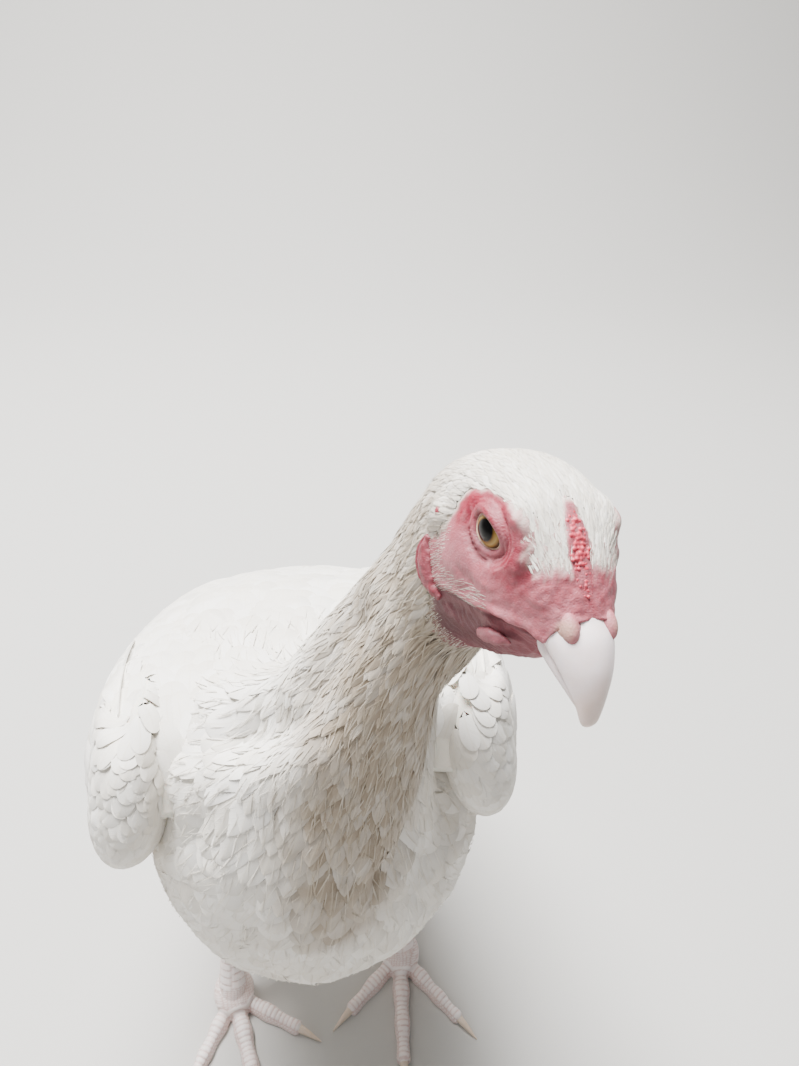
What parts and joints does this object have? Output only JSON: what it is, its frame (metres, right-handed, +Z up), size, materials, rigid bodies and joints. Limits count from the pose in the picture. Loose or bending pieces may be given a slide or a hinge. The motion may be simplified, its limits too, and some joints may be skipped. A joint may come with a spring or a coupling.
{
  "type": "white aseel hen, life-size standing model",
  "caption": "Life-size white game hen standing upright with its head turned, low pea comb, bare pink face, folded wings and low tail.",
  "frame": {"origin": "on the floor, below the middle of the bird's box", "axes": "the body faces -Y, its left is +X and up is +Z"},
  "size_m": [0.1763, 0.3668, 0.3902],
  "materials": {
    "feather": "white plumage, matte",
    "skin": "bare pink skin, dry",
    "comb": "red wrinkled skin",
    "eye": "wet, yellow iris and black pupil",
    "beak": "smooth pale horn",
    "leg": "pale pink scales",
    "claw": "smooth pale horn"
  },
  "bodies": {
    "root": {"torso": "feather", "neck_lower": "feather", "neck_upper": "feather", "tail": "feather", "wing_left": "feather", "wing_right": "feather", "thigh_left": "feather", "thigh_right": "feather", "head": "skin", "comb": "comb", "earlobe_left": "comb", "earlobe_right": "comb", "wattle_left": "comb", "wattle_right": "comb", "eye_left": "eye", "eye_right": "eye", "beak_upper": "beak", "beak_lower": "beak", "shank_left": "leg", "shank_right": "leg", "foot_left": "leg", "foot_right": "leg", "toe_middle_left": "leg", "toe_middle_right": "leg", "toe_inner_left": "leg", "toe_inner_right": "leg", "toe_outer_left": "leg", "toe_outer_right": "leg", "toe_hind_left": "leg", "toe_hind_right": "leg", "claw_middle_left": "claw", "claw_middle_right": "claw", "claw_inner_left": "claw", "claw_inner_right": "claw", "claw_outer_left": "claw", "claw_outer_right": "claw", "claw_hind_left": "claw", "claw_hind_right": "claw"}
  },
  "joints": []
}
